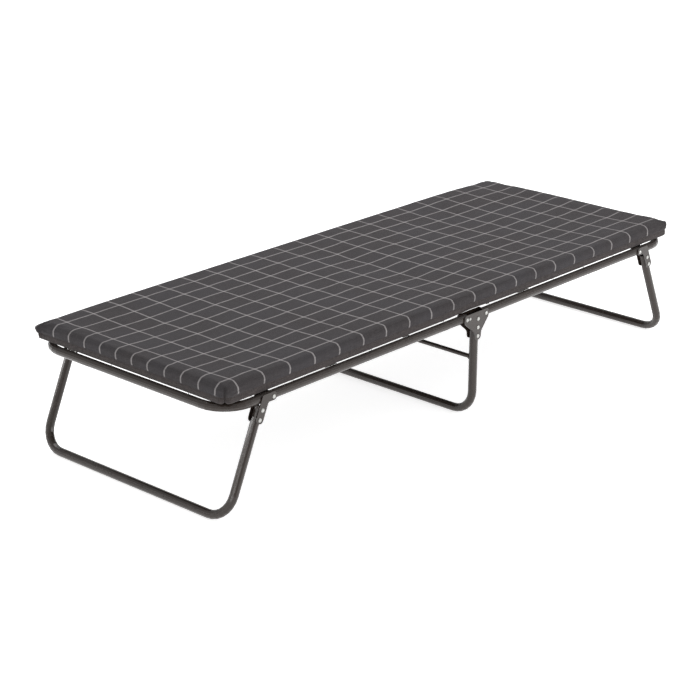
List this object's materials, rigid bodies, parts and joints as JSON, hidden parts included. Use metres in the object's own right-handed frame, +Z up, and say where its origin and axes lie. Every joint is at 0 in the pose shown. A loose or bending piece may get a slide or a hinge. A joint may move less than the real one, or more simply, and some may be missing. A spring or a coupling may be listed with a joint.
{
  "type": "folding cot",
  "caption": "Low folding cot: a tubular steel frame hinged on a middle leg, folding end legs, a sprung fabric deck and a checked foam pad.",
  "frame": {"origin": "on the floor, under the middle of the opened cot", "axes": "+X along the cot from its front end to its rear end, +Y to its left side, +Z up"},
  "size_m": [1.74, 0.666, 0.34],
  "materials": {
    "bronze_paint": "satin dark bronze powder coat",
    "zinc": "bright zinc-plated rivets",
    "spring_steel": "zinc-plated spring wire",
    "deck_cloth": "matte woven black cloth",
    "pad_cover": "matte charcoal cloth with a woven light grey window-pane check"
  },
  "bodies": {
    "front_half": {"front_deck": "deck_cloth", "front_end_springs": "spring_steel", "front_frame": "bronze_paint", "front_left_springs": "spring_steel", "front_pad": "pad_cover", "front_right_springs": "spring_steel"},
    "middle_stand": {"middle_deck": "deck_cloth", "middle_left_front_hinge_rivet": "zinc", "middle_left_inner_plate": "bronze_paint", "middle_left_leg_centre_rivet": "zinc", "middle_left_leg_lower_rivet": "zinc", "middle_left_leg_upper_rivet": "zinc", "middle_left_outer_plate": "bronze_paint", "middle_left_rear_hinge_rivet": "zinc", "middle_left_stud": "zinc", "middle_leg": "bronze_paint", "middle_leg_brace": "bronze_paint", "middle_pad": "pad_cover", "middle_right_front_hinge_rivet": "zinc", "middle_right_inner_plate": "bronze_paint", "middle_right_leg_centre_rivet": "zinc", "middle_right_leg_lower_rivet": "zinc", "middle_right_leg_upper_rivet": "zinc", "middle_right_outer_plate": "bronze_paint", "middle_right_rear_hinge_rivet": "zinc", "middle_right_stud": "zinc"},
    "rear_half": {"rear_deck": "deck_cloth", "rear_end_springs": "spring_steel", "rear_frame": "bronze_paint", "rear_left_springs": "spring_steel", "rear_pad": "pad_cover", "rear_right_springs": "spring_steel"},
    "front_stand": {"front_left_inner_plate": "bronze_paint", "front_left_leg_hinge_rivet": "zinc", "front_left_leg_lower_rivet": "zinc", "front_left_leg_upper_rivet": "zinc", "front_left_outer_plate": "bronze_paint", "front_leg": "bronze_paint", "front_right_inner_plate": "bronze_paint", "front_right_leg_hinge_rivet": "zinc", "front_right_leg_lower_rivet": "zinc", "front_right_leg_upper_rivet": "zinc", "front_right_outer_plate": "bronze_paint"},
    "rear_stand": {"rear_left_inner_plate": "bronze_paint", "rear_left_leg_hinge_rivet": "zinc", "rear_left_leg_lower_rivet": "zinc", "rear_left_leg_upper_rivet": "zinc", "rear_left_outer_plate": "bronze_paint", "rear_leg": "bronze_paint", "rear_right_inner_plate": "bronze_paint", "rear_right_leg_hinge_rivet": "zinc", "rear_right_leg_lower_rivet": "zinc", "rear_right_leg_upper_rivet": "zinc", "rear_right_outer_plate": "bronze_paint"}
  },
  "joints": [
    {"name": "middle_fold", "type": "hinge", "parent": "front_half", "child": "middle_stand", "pos_m": [-0.029, 0, 0.276], "axis": [0, 1, 0], "range_deg": [0, 88]},
    {"name": "rear_half_fold", "type": "hinge", "parent": "middle_stand", "child": "rear_half", "pos_m": [0.046, 0, 0.276], "axis": [0, 1, 0], "range_deg": [0, 88]},
    {"name": "front_leg_fold", "type": "hinge", "parent": "front_half", "child": "front_stand", "pos_m": [-0.717, 0, 0.276], "axis": [0, 1, 0], "range_deg": [-113.5, 0]},
    {"name": "rear_leg_fold", "type": "hinge", "parent": "rear_half", "child": "rear_stand", "pos_m": [0.717, 0, 0.276], "axis": [0, 1, 0], "range_deg": [0, 113.5]}
  ],
  "couplings": [
    {"joint": "rear_half_fold", "follows": "middle_fold", "ratio": 1},
    {"joint": "front_leg_fold", "follows": "middle_fold", "ratio": -1.2898},
    {"joint": "rear_leg_fold", "follows": "middle_fold", "ratio": 1.2898}
  ]
}
